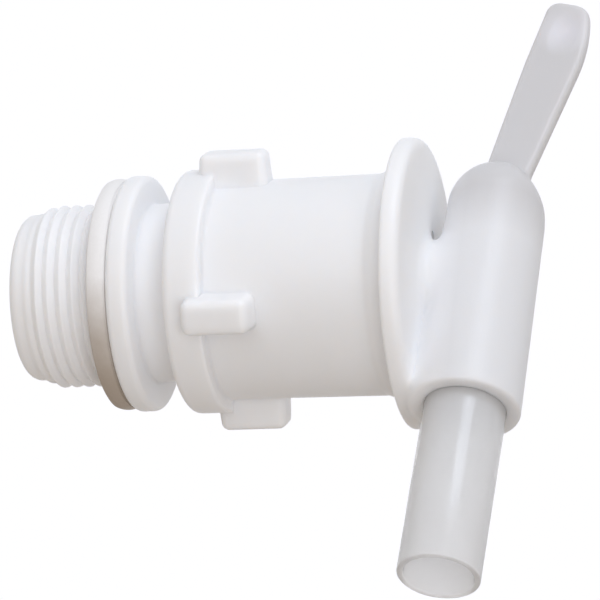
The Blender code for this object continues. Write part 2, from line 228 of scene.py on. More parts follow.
# Surface finishes. Noise scales are waves per metre, a bump is a height and a strength, and a tint
# of painted shade or painted highlight runs between two places or two distances.
noise_low = 0.3
noise_high = 0.7
plastic_ior = 1.5
plastic_scatter = 0.0012
plastic_scatter_share = (1.0, 0.95, 0.9)
plastic_cloud_scale = 110
plastic_wear_scale = 420
plastic_wave_scale = 160
plastic_wave_bump = (0.0002, 0.10)
plastic_grain_scale = 3200
plastic_grain_bump = (0.00003, 0.25)
plastic_roughness_spread = 0.05
white_light = (0.95, 0.955, 0.975)
white_dark = (0.93, 0.935, 0.955)
white_roughness = 0.42
natural_light = (0.96, 0.96, 0.97)
natural_dark = (0.93, 0.93, 0.94)
natural_roughness = 0.40
# Painted shade on the key: greyer over the head, boss and lever than over the disc, greyest over the
# dome and lever.
head_painted_shade = (0.785, 0.785, 0.79)
head_painted_shade_x = (disc_face_x + 0.001, disc_face_x + 0.006)
dome_painted_shade = (0.665, 0.655, 0.655)
dome_painted_shade_z = (head_bore_top, dome_height - 0.0005)
# Painted highlight: paler round the lever's dish.
dish_painted_highlight = (0.78, 0.77, 0.80)
dish_painted_highlight_centre = dish_at + 0.0005
dish_painted_highlight_distance = (1.15 * dish_half_length, 0.0005)
tube_light = (0.97, 0.965, 0.96)
tube_dark = (0.935, 0.93, 0.925)
tube_haze_scale = 300
tube_roughness = (0.30, 0.40)
tube_wave_scale = 500
tube_wave_bump = (0.00008, 0.12)
tube_transmission = 0.50
tube_ior = 1.08
tube_coat = 0.8
tube_coat_roughness = 0.12
tube_scatter = 0.0006
rubber_bump = (0.00006, 0.35)
rubber_roughness_spread = 0.06
rubber_grain_scale = 1500
seal_light = (0.60, 0.59, 0.57)
seal_dark = (0.55, 0.54, 0.52)
seal_roughness = 0.60
ring_light = (0.10, 0.10, 0.10)
ring_dark = (0.07, 0.07, 0.07)
ring_roughness = 0.50
washer_light = (0.92, 0.905, 0.89)
washer_dark = (0.88, 0.865, 0.845)
washer_roughness = 0.65
washer_grain_scale = 2600
# Painted shade: tan over the washer's lower side, its edge broken by clouds.
washer_shade_colour = (0.46, 0.39, 0.32)
washer_shade_z = (-0.45 * washer_high.y, -0.98 * washer_high.y)
washer_shade_cloud_scale = 260
washer_shade_cloud = 0.0008


def arc(centre, radius, start_deg, end_deg, steps=corner_steps):
    """Points on an arc of an outline, its first and last points included."""
    angles = np.radians(np.linspace(start_deg, end_deg, steps + 1))
    return [(centre[0] + radius * math.cos(a), centre[1] + radius * math.sin(a)) for a in angles]


def mesh_object(name, vertices, faces):
    """A mesh object from its vertices and faces, with its faces turned outwards."""
    mesh = bpy.data.meshes.new(name)
    mesh.from_pydata(vertices, [], faces)
    bm = bmesh.new()
    bm.from_mesh(mesh)
    bmesh.ops.recalc_face_normals(bm, faces=bm.faces)
    bm.to_mesh(mesh)
    bm.free()
    obj = bpy.data.objects.new(name, mesh)
    bpy.context.scene.collection.objects.link(obj)
    return obj


def turned(name, outline, columns=None, radius_of=None):
    """Turns an outline of (x, radius) points about X.

    An outline that starts and ends on the axis gets flat ends there, and any other closes on
    itself. columns are angles in radians from +Z towards -Y. radius_of(x, radius, angle) may
    change the radii.
    """
    if columns is None:
        columns = np.linspace(0, 2 * math.pi, small_steps, endpoint=False)
    on_axis = outline[0][1] == 0 and outline[-1][1] == 0
    rows = [point for point in outline if point[1] > 0]
    x = np.array([point[0] for point in rows])[:, None]
    r = np.array([point[1] for point in rows])[:, None] + 0 * columns
    if radius_of:
        r = radius_of(x, r, columns[None, :])
    places = np.stack((x + 0 * r, -r * np.sin(columns), r * np.cos(columns)), axis=-1)
    count = len(columns)
    faces = []
    last = len(rows) - 1 if on_axis else len(rows)
    for i in range(last):
        row, following = i * count, (i + 1) % len(rows) * count
        for j in range(count):
            k = (j + 1) % count
            faces.append((row + j, row + k, following + k, following + j))
    if on_axis:
        faces.append(tuple(range(count)))
        faces.append(tuple(range(last * count, (last + 1) * count)))
    return mesh_object(name, places.reshape(-1, 3).tolist(), faces)


def rod(name, start_x, end_x, radius, height=0.0):
    """A plain round bar along X, its centre at a height above the barrel's axis."""
    obj = turned(name, [(start_x, 0), (start_x, radius), (end_x, radius), (end_x, 0)])
    obj.data.transform(Matrix.Translation((0, 0, height)))
    return obj


def sector(name, start_x, end_x, inner_r, outer_r, middle_deg, sweep_deg):
    """A block between two radii, swept about X. Its middle angle is measured from +Z towards -Y."""
    steps = math.ceil(sweep_deg / column_step_deg)
    angles = np.radians(middle_deg + sweep_deg * (np.arange(steps + 1) / steps - 0.5))
    corners = ((start_x, inner_r), (end_x, inner_r), (end_x, outer_r), (start_x, outer_r))
    vertices = [(x, -r * math.sin(a), r * math.cos(a)) for a in angles for x, r in corners]
    faces = [(0, 1, 2, 3), tuple(4 * steps + i for i in (3, 2, 1, 0))]
    for step in range(steps):
        for i in range(4):
            j = (i + 1) % 4
            faces.append((4 * step + i, 4 * step + j, 4 * step + 4 + j, 4 * step + 4 + i))
    return mesh_object(name, vertices, faces)


def drop_flaps(bm):
    """Removes doubled faces, folded on each other, which a Boolean can leave."""
    found = {}
    for face in bm.faces:
        found.setdefault(frozenset(face.verts), []).append(face)
    doubled = [face for faces in found.values() if len(faces) > 1 for face in faces]
    bmesh.ops.delete(bm, geom=doubled, context="FACES")


def combine(target, operation, tools):
    """Applies an exact Boolean of each tool to the target, cleans it and removes the tools."""
    for tool in tools:
        modifier = target.modifiers.new(tool.name, "BOOLEAN")
        modifier.operation = operation
        modifier.solver = "EXACT"
        modifier.object = tool
    bpy.context.view_layer.update()
    graph = bpy.context.evaluated_depsgraph_get()
    mesh = bpy.data.meshes.new_from_object(target.evaluated_get(graph))
    bm = bmesh.new()
    bm.from_mesh(mesh)
    bmesh.ops.remove_doubles(bm, verts=bm.verts, dist=weld_distance)
    bmesh.ops.triangulate(bm, faces=[face for face in bm.faces if len(face.verts) > 4])
    drop_flaps(bm)
    bm.to_mesh(mesh)
    bm.free()
    target.modifiers.clear()
    target.data = mesh
    for tool in tools:
        bpy.data.objects.remove(tool)
    return target


# Fields: a field is negative inside a shape and positive outside it, in metres.


def smooth_max(a, b, reach):
    """The larger of two fields, with the edge between them rounded over a reach."""
    near = np.maximum(reach - np.abs(a - b), 0) / reach
    return np.maximum(a, b) + near * near * reach / 4


def smooth_min(a, b, reach):
    """The smaller of two fields, with the corner between them filled over a reach."""
    return -smooth_max(-a, -b, reach)


def rounded(a, b, radius):
    """Two fields cut with each other, their edge rounded to about a radius."""
    return smooth_max(a, b, smooth_reach_per_radius * radius)


def skin(name, field, low, high):
    """The surface where a field is zero, with one vertex in each grid cell that it crosses."""
    counts = [math.ceil((high[i] - low[i]) / skin_cell) + 1 for i in range(3)]
    axes = [low[i] + skin_cell * np.arange(counts[i]) for i in range(3)]
    values = field(*np.meshgrid(*axes, indexing="ij")).astype(np.float32)
    cells = [count - 1 for count in counts]
    total = np.zeros((*cells, 3), np.float32)
    crossings = np.zeros(cells, np.float32)
    for axis in range(3):
        others = [i for i in range(3) if i != axis]
        for first in (0, 1):
            for second in (0, 1):
                offset = [0, 0, 0]
                offset[others[0]], offset[others[1]] = first, second
                near = tuple(slice(o, o + n) for o, n in zip(offset, cells))
                offset[axis] = 1
                far = tuple(slice(o, o + n) for o, n in zip(offset, cells))
                offset[axis] = 0
                a, b = values[near], values[far]
                cross = (a < 0) != (b < 0)
                share = np.where(cross, a / np.where(cross, a - b, 1), 0)
                for i in range(3):
                    total[..., i] += cross * offset[i]
                total[..., axis] += share
                crossings += cross
    used = crossings > 0
    number = np.full(cells, -1, np.int64)
    number[used] = np.arange(used.sum())
    inside_cell = total[used] / crossings[used][:, None]
    places = (np.argwhere(used) + inside_cell) * skin_cell + np.array(low)
    faces = []
    for axis in range(3):
        order = np.roll((0, 1, 2), -axis)
        v = values.transpose(order)
        n = number.transpose(order)
        inside = v < 0
        leaves = (inside[:-1] != inside[1:])[:, 1:-1, 1:-1]
        at = np.argwhere(leaves)
        i, j, k = at[:, 0], at[:, 1], at[:, 2]
        corners = (n[i, j, k], n[i, j + 1, k], n[i, j + 1, k + 1], n[i, j, k + 1])
        quad = np.stack(corners, axis=1)
        outward = inside[i, j + 1, k + 1]
        faces.append(np.where(outward[:, None], quad, quad[:, ::-1]))
    places = settle(places, field)
    return mesh_object(name, places.tolist(), np.concatenate(faces).tolist())


def settle(places, field, rounds=3, reach=0.00001):
    """Moves places along the field's slope onto the surface where it is zero."""
    for _ in range(rounds):
        value = field(*places.T)
        slope = np.empty_like(places)
        for i in range(3):
            step = np.zeros(3)
            step[i] = reach
            slope[:, i] = (field(*(places + step).T) - field(*(places - step).T)) / (2 * reach)
        size = np.maximum((slope * slope).sum(axis=1), least_steepness)
        move = slope * (value / size)[:, None]
        places = places - np.clip(move, -skin_cell / 2, skin_cell / 2)
    return places


# Body


def rounded_wave(turn):
    """A thread's section: 0 at its root and 1 at its crest, both rounded, with straight flanks."""
    bent = np.arcsin(thread_crest_sharpness * np.cos(2 * math.pi * turn))
    return 0.5 + 0.5 * bent / math.asin(thread_crest_sharpness)


def thread_height(x, angle):
    """How far the thread stands above its root, faded at both ends."""
    start = nose_x + nose_length
    end = -thread_relief
    fade_in = np.clip((x - start) / (thread_fade_turns * thread_pitch), 0, 1)
    fade_out = np.clip((end - x) / (thread_runout_turns * thread_pitch), 0, 1)
    wave = rounded_wave(x / thread_pitch - angle / (2 * math.pi))
    return (thread_valley + (thread_depth - thread_valley) * wave) * fade_in * fade_out


def lug_top(along, across):
    """Height of a lug's outside above the barrel's axis, over a place in its plan."""
    corner_x = np.abs(along) - (lug_length / 2 - lug_round)
    corner_y = np.abs(across) - (lug_width / 2 - lug_round)
    outside = np.hypot(np.maximum(corner_x, 0), np.maximum(corner_y, 0)) - lug_round
    edge = outside + np.minimum(np.maximum(corner_x, corner_y), 0)
    into_round = np.clip(edge + lug_round, 0, lug_round)
    top = collar_r + lug_height - lug_round + np.sqrt(lug_round**2 - into_round**2)
    return top - np.maximum(edge, 0) / math.tan(math.radians(lug_draft_deg))


def lug_radius(x, angle, lug_deg):
    """Radius at which a ray from the axis leaves a lug, found by halving."""
    turn = (angle - math.radians(lug_deg) + math.pi) % (2 * math.pi) - math.pi
    along = x - (collar_x + lug_setback + lug_length / 2)
    low = np.zeros(np.broadcast(x, angle).shape)
    high = low + collar_r + 2 * lug_height
    for _ in range(lug_halvings):
        middle = (low + high) / 2
        inside = middle * np.cos(turn) < lug_top(along, middle * np.sin(turn))
        low = np.where(inside, middle, low)
        high = np.where(inside, high, middle)
    return np.where(np.abs(turn) < math.pi / 4, low, 0)


def body_radius(x, r, angle):
    """The body's outside radius: the turned section with its thread and its lugs."""
    threaded = (x > nose_x + nose_length - weld_distance) & (x < -thread_relief + weld_distance)
    threaded = threaded & (r > thread_root_r - weld_distance)
    r = r + np.where(threaded, thread_height(x, angle), 0)
    on_barrel = (x[:, 0] > collar_x) & (x[:, 0] < mouth_x)
    near_lugs = (on_barrel & (r[:, 0] > bore_r + rim_height)).nonzero()[0]
    for i in range(lug_count):
        lug = lug_radius(x[near_lugs], angle, lug_first_deg + 360 * i / lug_count)
        r[near_lugs] = smooth_max(r[near_lugs], lug, lug_fillet)
    return r


def body_outline():
    """The body's section: its outside from nose to mouth, then its front bore to the axis."""
    points = [(nose_x + nose_chamfer, spigot_bore_r), (nose_x, spigot_bore_r + nose_chamfer)]
    points += arc((nose_x + nose_round, thread_root_r - nose_round), nose_round, 180, 90)
    start = nose_x + nose_length
    rows = math.ceil((-thread_relief - start) / thread_pitch * thread_rows_per_turn)
    points += [(x, thread_root_r) for x in np.linspace(start, -thread_relief, rows + 1)]
    points += [(0, thread_major_r), (flange_x, thread_major_r)]
    points += arc((flange_x + flange_round, flange_r - flange_round), flange_round, 180, 90)
    points += arc((neck_x - flange_round, flange_r - flange_round), flange_round, 90, 0)
    points += arc((neck_x + neck_fillet, neck_r + neck_fillet), neck_fillet, 180, 270)
    points += arc((collar_x - neck_fillet, neck_r + neck_fillet), neck_fillet, 270, 360)
    points += arc((collar_x + collar_round, collar_r - collar_round), collar_round, 180, 90)
    points += barrel_rows()
    points += [(mouth_x, bore_r + bore_chamfer), (mouth_x - bore_chamfer, bore_r)]
    points += snap_groove()
    points += [(seat_face_x, bore_r), (seat_face_x, 0)]
    return points


def barrel_rows():
    """The collar's front end and the barrel, with rows close together at the ends of the lugs."""
    collar_end = collar_x + collar_length
    flare_start = mouth_x - 2 * rim_length
    lug_start = collar_x + lug_setback
    lug_end = lug_start + lug_length
    round_angles = np.radians(range(0, 91, lug_end_step_deg))
    ends = []
    for end, way in ((lug_start, 1), (lug_end, -1)):
        ends += [end + way * lug_round * (1 - math.cos(a)) for a in round_angles]
        ends += [end - way * offset for offset in np.linspace(*lug_end_rows)]
    between = np.arange(collar_x + collar_round, flare_start, barrel_row_step)[1:]
    stations = sorted(set(ends + list(between)))
    rows = []
    for x in stations:
        if x < collar_end - neck_fillet:
            rows.append((x, collar_r))
        elif x > collar_end + neck_fillet:
            share = (x - collar_end) / (flare_start - collar_end)
            rows.append((x, barrel_rear_r + (barrel_front_r - barrel_rear_r) * share))
    before = [row for row in rows if row[0] < collar_end]
    after = [row for row in rows if row[0] > collar_end]
    edge = arc((collar_end - neck_fillet, collar_r - neck_fillet), neck_fillet, 90, 0)
    root = arc((collar_end + neck_fillet, barrel_rear_r + neck_fillet), neck_fillet, 180, 270)
    flare = []
    for share in np.linspace(0, 1, flare_rows):
        rise = rim_height * (0.5 - 0.5 * math.cos(math.pi * share))
        flare.append((flare_start + rim_length * share, barrel_front_r + rise))
    lip_r = barrel_front_r + rim_height
    lip = arc((mouth_x - rim_height, lip_r - rim_height), rim_height, 90, 0)
    return before + edge + root + after + flare + lip


def snap_groove():
    """The groove in the body's bore that the key's bead snaps into, from front to rear."""
    depth = bead_height + seat_gap - running_gap
    half_floor = bead_width / 2 + seat_gap
    half_mouth = half_floor + depth
    return [
        (bead_x + half_mouth, bore_r),
        (bead_x + half_floor, bore_r + depth),
        (bead_x - half_floor, bore_r + depth),
        (bead_x - half_mouth, bore_r),
    ]


def body_columns():
    """Angles of the body's columns, close together at the side walls of the lugs."""
    angles = list(np.arange(0, 360, column_step_deg))
    tip = math.degrees(math.asin(lug_width / 2 / (collar_r + lug_height)))
    root = math.degrees(math.asin(lug_width / 2 / barrel_rear_r))
    first, last = tip - lug_column_margin_deg, root + lug_column_margin_deg
    offsets = np.arange(first, last, fine_column_step_deg)
    for i in range(lug_count):
        for side in (-1, 1):
            angles += list((lug_first_deg + 360 * i / lug_count + side * offsets) % 360)
    angles = np.array(sorted(angles))
    spaced = np.diff(angles, append=angles[0] + 360) > fine_column_step_deg / 2
    return np.radians(angles[spaced])


def ports(prefix, start_x, end_x):
    """Cutters for the liquid's port, below the axis, and for the air hole above it."""
    radii = (port_inner_r, port_outer_r)
    liquid = sector(prefix + "_port", start_x, end_x, *radii, 180, port_sweep_deg)
    return [liquid, rod(prefix + "_air", start_x, end_x, air_hole_r, air_height)]


def seal_ribs(name, start_x, end_x, inner_r, clearance_deg=0.0):
    """The two ribs in the bore that stop the seal turning, or the notches that fit them."""
    sweep = rib_sweep_deg + 2 * clearance_deg
    radii = (inner_r, bore_r + seat_gap)
    return [sector(f"{name}_{deg}", start_x, end_x, *radii, deg, sweep) for deg in (90, 270)]


def tap_body():
    """The body: its turned moulding with the seal's ribs, less ports, tube seat and stop pocket."""
    bore = [(seat_wall_x, 0), (seat_wall_x, spigot_bore_r)]
    body = turned("tap_body_moulding", bore + body_outline(), body_columns(), body_radius)
    ribs = seal_ribs("rib", seat_face_x - seat_gap, seal_high.x, bore_r - rib_height)
    combine(body, "UNION", ribs)
    cutters = ports("seat", seat_wall_x - seat_gap, seat_face_x + seat_gap)
    tube_seat = (seat_wall_x - seat_gap, seat_wall_x + air_tube_seat)
    cutters.append(rod("tube_seat", *tube_seat, air_tube_r + seat_gap, air_height))
    cutters.append(
        sector(
            "stop_pocket",
            mouth_x - stop_depth - seat_gap,
            mouth_x + seat_gap,
            bore_r - seat_gap,
            drum_r + stop_height + seat_gap,
            turn_deg / 2,
            turn_deg + stop_sweep_deg + 2 * side_clearance_deg,
        )
    )
    return combine(body, "DIFFERENCE", cutters)


def sealing_washer():
    """The washer, its outer edge barrelled a little by the squeeze between flange and container."""
    outer_r = washer_high.y
    inner_r = thread_major_r + seat_gap
    rear_x = washer_low.x
    front_x = flange_x - washer_seat_gap
    edge = washer_edge_round
    steps = washer_corner_steps
    outline = arc((rear_x + edge, inner_r + edge), edge, 270, 180, steps)
    outline += arc((rear_x + edge, outer_r - 2 * edge), edge, 180, 100, steps)
    for share in np.linspace(0.1, 0.9, bulge_rows):
        x = rear_x + (front_x - rear_x) * share
        outline.append((x, outer_r - edge * (2 * share - 1) ** 2))
    outline += arc((front_x - edge, outer_r - 2 * edge), edge, 80, 0, steps)
    outline += arc((front_x - edge, inner_r + edge), edge, 0, -90, steps)
    return turned("sealing_washer_ring", outline, np.radians(np.arange(0, 360, column_step_deg)))


# Key


def head_frame():
    """The matrix that puts a shape turned about X on the head's axis, its X down the spout."""
    down = Matrix.Rotation(math.radians(90), 4, "Y")
    lean = Matrix.Rotation(math.radians(head_lean_deg), 4, "Y")
    return Matrix.Translation((head_x, 0, 0)) @ lean @ down


def lever_root():
    """Where the lever's middle line starts, at the centre of the dome and set back a little."""
    return head_frame() @ Vector((-dome_height, 0, 0)) - Vector((lever_root_setback, 0, 0))


def lever_point(along):
    """A place on the lever's middle line, a distance from its root."""
    lean = math.radians(lever_lean_deg + head_lean_deg)
    return lever_root() + Vector((math.sin(lean), 0, math.cos(lean))) * along


def lever_field(x, y, z):
    """The lever: a plate with rounded edges, a bent, rounded tip and a shallow dish each side."""
    lean = math.radians(lever_lean_deg + head_lean_deg)
    root = lever_root()
    along = (x - root.x) * math.sin(lean) + (z - root.z) * math.cos(lean)
    across = (x - root.x) * math.cos(lean) - (z - root.z) * math.sin(lean)
    widening = np.clip(along / lever_widest_at, 0, 1)
    half = (lever_root_width + (lever_width - lever_root_width) * widening) / 2
    bent_share = np.maximum(along - lever_bend_from, 0) / (lever_length - lever_bend_from)
    bend = lever_bend * bent_share**2
    side = np.abs(across + bend / 2) - half + bend / 2
    plan = rounded(side, along - lever_length, lever_tip_round)
    plan = np.maximum(plan, -along)
    hollow = ((along - dish_at) / dish_half_length) ** 2 + (across / dish_half_width) ** 2
    dish = dish_depth * np.maximum(1 - hollow, 0) ** 1.5
    return rounded(plan, np.abs(y) - lever_half_thickness + dish, lever_edge_round)


def key_field(x, y, z):
    """The key's outside: disc, boss, domed head and lever, moulded into each other."""
    around = np.hypot(y, z)
    disc = rounded(around - disc_r, x - disc_face_x, disc_front_round)
    disc = rounded(disc, disc_x - x, disc_rear_round)
    boss = np.maximum(around - boss_r, np.maximum(disc_x + disc_thickness / 2 - x, x - head_x))
    lean = math.radians(head_lean_deg)
    down = -(x - head_x) * math.sin(lean) - z * math.cos(lean)
    aside = np.hypot((x - head_x) * math.cos(lean) - z * math.sin(lean), y)
    share = np.clip((down + dome_height) / (head_foot + dome_height), 0, 1)
    post = aside - head_top_r - (head_foot_r - head_top_r) * share
    dome = np.hypot(aside, down + dome_height) - head_top_r
    post = rounded(np.where(down < -dome_height, dome, post), down - head_foot, head_foot_round)
    shoulder = math.radians(shoulder_deg) - lean
    forward = (x - head_x) * math.cos(shoulder) + (z - dome_height) * math.sin(shoulder)
    post = smooth_max(post, forward - head_top_r - shoulder_offset, shoulder_round)
    key = smooth_min(post, boss, boss_fillet)
    key = smooth_min(key, lever_field(x, y, z), lever_fillet)
    return smooth_min(key, disc, disc_fillet)


def groove(middle):
    """A ring groove in the drum, from front to rear."""
    floor_r = drum_r - groove_depth
    front, rear = middle + groove_width / 2, middle - groove_width / 2
    return [(front, drum_r), (front, floor_r), (rear, floor_r), (rear, drum_r)]


def drum():
    """The hollow drum with its snap bead and ring grooves, rooted in the disc."""
    root_x = disc_x + disc_thickness / 2
    half = bead_width / 2
    outline = [
        (root_x, drum_r),
        (bead_x + half + bead_height, drum_r),
        (bead_x + half, drum_r + bead_height),
        (bead_x - half, drum_r + bead_height),
        (bead_x - half - bead_height, drum_r),
    ]
    outline += groove(front_groove_x) + groove(rear_groove_x)
    outline += [(drum_end_x, drum_r), (drum_end_x, recess_r), (plate_end_x + seat_gap, recess_r)]
    outline += [(plate_end_x + seat_gap, drum_bore_r), (root_x, drum_bore_r)]
    columns = np.radians(np.arange(column_step_deg / 2, 360, column_step_deg))
    return turned("drum", outline, columns)


def turning_key():
    """The key: its moulded outside with the drum, stop tab and air duct, less its channels."""
    margin = 4 * skin_cell
    low = (disc_x - margin, -disc_r - margin, key_low.z - margin)
    high = (key_high.x + margin, disc_r + margin, key_high.z + margin)
    key = skin("turning_key_moulding", key_field, low, high)
    inside_disc_x = disc_x + disc_thickness / 2
    duct_x = plate_end_x + seat_gap
    foot_r = (drum_r + drum_bore_r) / 2
    top_r = drum_r + stop_height
    tab = sector("stop_tab", disc_x - stop_depth, inside_disc_x, foot_r, top_r, 0, stop_sweep_deg)
    duct = rod("air_duct", duct_x, inside_disc_x, air_hole_r + duct_wall, air_height)
    combine(key, "UNION", [drum(), tab, duct])
    sweep = plate_tab_sweep_deg + 2 * side_clearance_deg
    slot_ends = (recess_r - seat_gap, drum_r + seat_gap)
    cutters = [
        rod("boss_bore", disc_x - seat_gap, head_x, boss_bore_r),
        rod("air_hole", duct_x - seat_gap, disc_face_x + seat_gap, air_hole_r, air_height),
        sector("tab_slot", drum_end_x - seat_gap, duct_x, *slot_ends, 0, sweep),
        head_bore(),
    ]
    return combine(key, "DIFFERENCE", cutters)


def head_bore():
    """The channel down the head, with the socket that grips the tube."""
    shoulder = head_foot - tube_seat - seat_gap
    outline = [
        (-head_bore_top, 0),
        (-head_bore_top, head_bore_r),
        (shoulder, head_bore_r),
        (shoulder, socket_r),
        (head_foot + seat_gap, socket_r),
        (head_foot + seat_gap, 0),
    ]
    bore = turned("head_bore", outline)
    bore.data.transform(head_frame())
    return bore


def spout_tube():
    """The clear tube, cut square, with its edges just broken."""
    inner_r = tube_r - tube_wall
    top = head_foot - tube_seat
    bottom = head_foot + tube_exposed
    edge = tube_edge_round
    steps = tube_corner_steps
    outline = arc((top + edge, inner_r + edge), edge, 270, 180, steps)
    outline += arc((top + edge, tube_r - edge), edge, 180, 90, steps)
    outline += arc((bottom - edge, tube_r - edge), edge, 90, 0, steps)
    outline += arc((bottom - edge, inner_r + edge), edge, 0, -90, steps)
    tube = turned("spout_tube_clear", outline)
    tube.data.transform(head_frame())
    return tube


# Pieces inside the body


def seat_seal():
    """The round seal with its two ports, and a notch for each rib of the body."""
    seal = rod("seat_seal_pad", seal_low.x, seal_high.x, bore_r - seat_gap)
    through = (seal_low.x - seat_gap, seal_high.x + seat_gap)
    inner_r = bore_r - rib_height - seat_gap
    notches = seal_ribs("notch", *through, inner_r, side_clearance_deg)
    return combine(seal, "DIFFERENCE", ports("seal", *through) + notches)


def port_disc():
    """The plate that closes the drum's rear end, with its two ports and the tab that places it."""
    radius = recess_r - seat_gap
    plate = rod("port_disc_plate", drum_end_x, plate_end_x, radius)
    tab_radii = (radius - plate_tab_root, drum_r)
    tab = sector("plate_tab", drum_end_x, plate_end_x, *tab_radii, 0, plate_tab_sweep_deg)
    combine(plate, "UNION", [tab])
    cutters = ports("plate", drum_end_x - seat_gap, plate_end_x + seat_gap)
    return combine(plate, "DIFFERENCE", cutters)


def air_tube():
    """The vent tube, from the seat wall to the spigot's open end."""
    ends = [(air_low.x, air_hole_r), (air_low.x, air_tube_r)]
    ends += [(air_high.x, air_tube_r), (air_high.x, air_hole_r)]
    tube = turned("air_tube_vent", ends)
    tube.data.transform(Matrix.Translation((0, 0, air_height)))
    return tube


def o_ring(name, middle):
    """A rubber ring in one of the drum's grooves."""
    centre = (middle, drum_r - groove_depth + seat_gap + ring_section_r)
    return turned(name, arc(centre, ring_section_r, 0, 360, ring_steps)[:-1])


# Materials


def new_material(name):
    """A material with its nodes and links."""
    material = bpy.data.materials.new(name)
    material.use_nodes = True
    return material, material.node_tree.nodes, material.node_tree.links


def noise(nodes, links, scale, detail, seed):
    """Noise in the object's own space, at a scale in waves per metre."""
    place = nodes.new("ShaderNodeTexCoord")
    texture = nodes.new("ShaderNodeTexNoise")
    texture.noise_dimensions = "4D"
    texture.inputs["W"].default_value = seed
    texture.inputs["Scale"].default_value = scale
    texture.inputs["Detail"].default_value = detail
    links.new(place.outputs["Object"], texture.inputs["Vector"])
    return texture.outputs["Fac"]


def spread(nodes, links, value, low, high):
    """Maps the middle of a noise's values onto a range."""
    mapped = nodes.new("ShaderNodeMapRange")
    mapped.inputs["From Min"].default_value = noise_low
    mapped.inputs["From Max"].default_value = noise_high
    mapped.inputs["To Min"].default_value = low
    mapped.inputs["To Max"].default_value = high
    links.new(value, mapped.inputs["Value"])
    return mapped.outputs["Result"]


def ramp(nodes, links, value, start, end):
    """Maps a value onto 0 to 1 between two levels."""
    mapped = nodes.new("ShaderNodeMapRange")
    mapped.inputs["From Min"].default_value = start
    mapped.inputs["From Max"].default_value = end
    links.new(value, mapped.inputs["Value"])
    return mapped.outputs["Result"]


def blend_colours(nodes, links, factor, first, second):
    """Goes from one colour to a second as a factor goes from 0 to 1."""
    mix = nodes.new("ShaderNodeMix")
    mix.data_type = "RGBA"
    links.new(factor, mix.inputs["Factor"])
    mix.inputs["A"].default_value = (*first, 1.0)
    mix.inputs["B"].default_value = (*second, 1.0)
    return mix.outputs["Result"]


def tint(nodes, links, factor, under, colour):
    """Mixes one colour over what is under it."""
    mix = nodes.new("ShaderNodeMix")
    mix.data_type = "RGBA"
    links.new(factor, mix.inputs["Factor"])
    links.new(under, mix.inputs["A"])
    mix.inputs["B"].default_value = (*colour, 1.0)
    return mix.outputs["Result"]


def bump(nodes, links, height, distance, strength, normal=None):
    """A bumped normal, over another one where it is given."""
    node = nodes.new("ShaderNodeBump")
    node.inputs["Distance"].default_value = distance
    node.inputs["Strength"].default_value = strength
    links.new(height, node.inputs["Height"])
    if normal:
        links.new(normal, node.inputs["Normal"])
    return node.outputs["Normal"]


def moulded_plastic(name, light, dark, roughness, seed):
    """Soft moulded plastic: faint clouds, fine grain over slow waves, light scattered inside."""
    material, nodes, links = new_material(name)
    shader = nodes["Principled BSDF"]
    cloud = noise(nodes, links, plastic_cloud_scale, 3, seed)
    links.new(blend_colours(nodes, links, cloud, light, dark), shader.inputs["Base Color"])
    wear = noise(nodes, links, plastic_wear_scale, 4, seed + 1)
    smoothest, roughest = roughness - plastic_roughness_spread, roughness + plastic_roughness_spread
    links.new(spread(nodes, links, wear, smoothest, roughest), shader.inputs["Roughness"])
    slow = noise(nodes, links, plastic_wave_scale, 1, seed + 2)
    waves = bump(nodes, links, slow, *plastic_wave_bump)
    fine = noise(nodes, links, plastic_grain_scale, 2, seed + 3)
    grain = bump(nodes, links, fine, *plastic_grain_bump, waves)
    links.new(grain, shader.inputs["Normal"])
    shader.inputs["IOR"].default_value = plastic_ior
    shader.inputs["Subsurface Weight"].default_value = 1.0
    shader.inputs["Subsurface Radius"].default_value = plastic_scatter_share
    shader.inputs["Subsurface Scale"].default_value = plastic_scatter
    return material


def key_plastic(name, seed):
    """The key's natural plastic, with painted shade and a painted highlight.

    It is lightest over the drum; painted shade makes it greyer in the head and greyest in
    the dome and the lever, and a painted highlight makes it paler again in the lever's dish.
    """
    material = moulded_plastic(name, natural_light, natural_dark, natural_roughness, seed)
    nodes, links = material.node_tree.nodes, material.node_tree.links
    shader = nodes["Principled BSDF"]
    place = nodes.new("ShaderNodeTexCoord").outputs["Object"]
    split = nodes.new("ShaderNodeSeparateXYZ")
    links.new(place, split.inputs["Vector"])
    # Painted shade: greyer from the disc's face forwards, greyest high in the dome and the lever.
    front = ramp(nodes, links, split.outputs["X"], *head_painted_shade_x)
    upper = ramp(nodes, links, split.outputs["Z"], *dome_painted_shade_z)
    both = nodes.new("ShaderNodeMath")
    both.operation = "MULTIPLY"
    links.new(upper, both.inputs[0])
    links.new(front, both.inputs[1])
    # Painted highlight: paler round the lever's dish.
    away = nodes.new("ShaderNodeVectorMath")
    away.operation = "DISTANCE"
    links.new(place, away.inputs[0])
    away.inputs[1].default_value = lever_point(dish_painted_highlight_centre)
    dish_highlight = ramp(nodes, links, away.outputs["Value"], *dish_painted_highlight_distance)
    colour = shader.inputs["Base Color"].links[0].from_socket
    colour = tint(nodes, links, front, colour, head_painted_shade)
    colour = tint(nodes, links, both.outputs["Value"], colour, dome_painted_shade)
    colour = tint(nodes, links, dish_highlight, colour, dish_painted_highlight)
    links.new(colour, shader.inputs["Base Color"])
    return material


